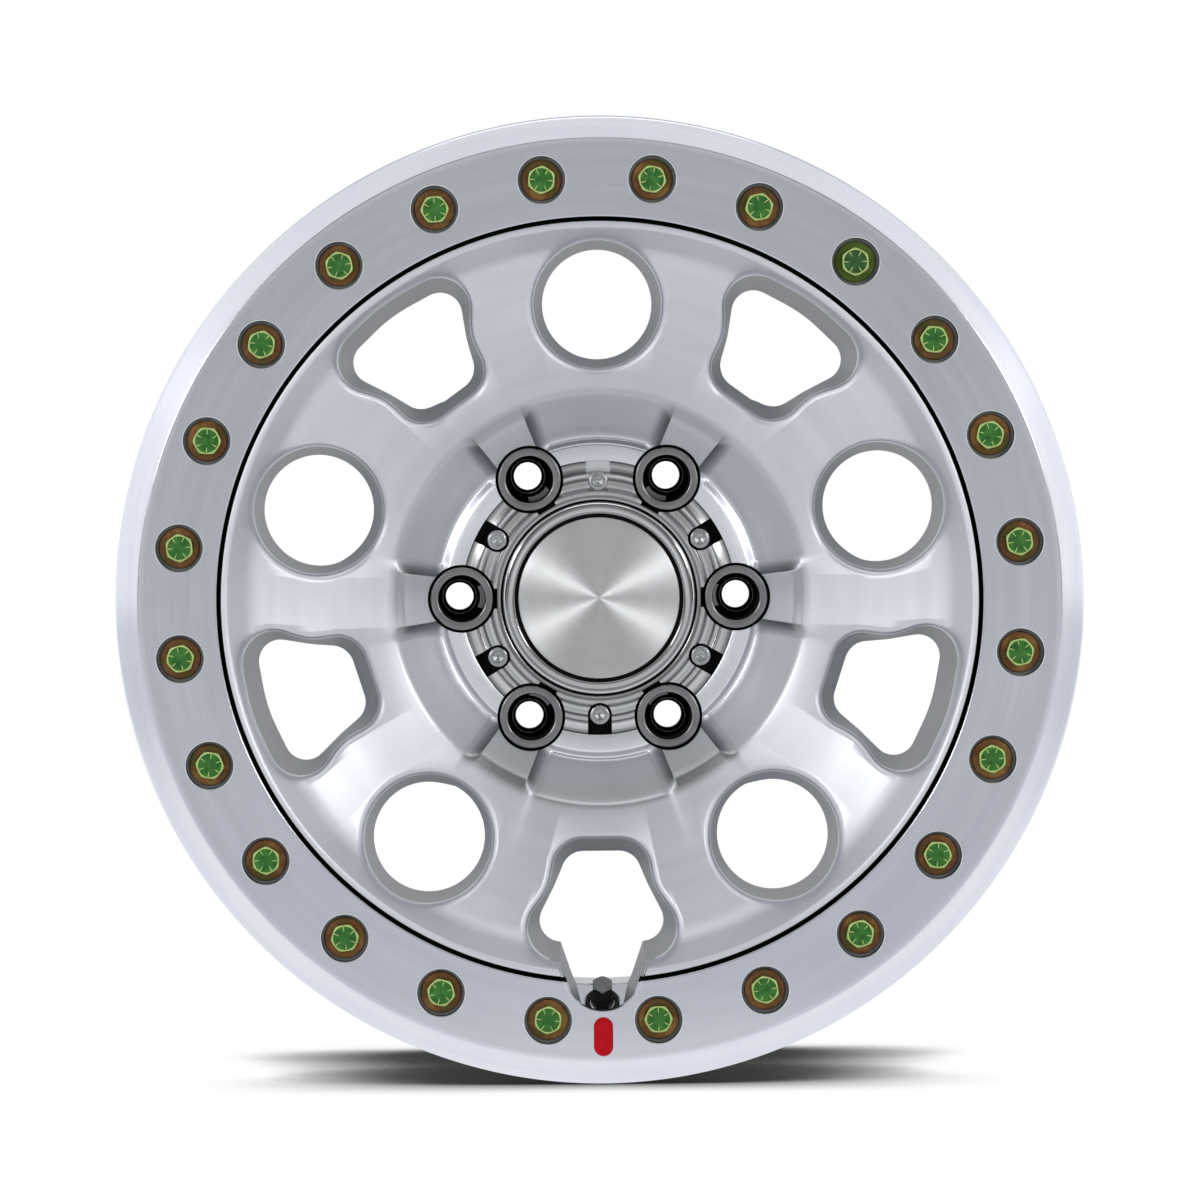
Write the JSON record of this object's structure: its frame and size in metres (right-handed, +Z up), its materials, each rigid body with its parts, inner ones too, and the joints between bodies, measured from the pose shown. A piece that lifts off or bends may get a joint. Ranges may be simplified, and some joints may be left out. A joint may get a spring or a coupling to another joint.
{
  "type": "beadlock wheel",
  "caption": "Machined aluminium beadlock wheel with a bolted bead clamp ring, round and shield-shaped windows, steel lug sleeves, centre cap and air valve.",
  "frame": {"origin": "centre of the hub bore on the face that bolts to the hub", "axes": "the wheel spins about Y, its front faces -Y, +Z is up and the valve is at the bottom"},
  "size_m": [0.4799, 0.2503, 0.48],
  "materials": {
    "machined_aluminium": "fine machined",
    "polished_aluminium": "polished",
    "spun_aluminium": "spun with fine circles",
    "bare_steel": "zinc plated",
    "green_plated_steel": "green coated bolt heads",
    "gold_plated_steel": "yellow-brown plated",
    "black_metal": "black satin",
    "black_rubber": "matt",
    "brass": "turned",
    "red_enamel": "gloss red"
  },
  "bodies": {
    "root": {"wheel_casting": "machined_aluminium", "beadlock_ring": "machined_aluminium", "ring_bolts": "green_plated_steel", "ring_washers": "gold_plated_steel", "thread_inserts": "bare_steel", "lug_sleeve_1": "bare_steel", "lug_sleeve_2": "bare_steel", "lug_sleeve_3": "bare_steel", "lug_sleeve_4": "bare_steel", "lug_sleeve_5": "bare_steel", "lug_sleeve_6": "bare_steel", "retainer_ring": "machined_aluminium", "retainer_screws": "bare_steel", "cap_shell": "polished_aluminium", "cap_disc": "spun_aluminium", "cap_seal": "black_rubber", "marker_badge": "red_enamel", "valve_stem": "black_metal", "valve_core": "brass", "valve_grommet": "black_rubber", "valve_collar": "black_rubber", "valve_washer": "bare_steel", "valve_nut": "bare_steel", "valve_cap": "bare_steel"}
  },
  "joints": []
}
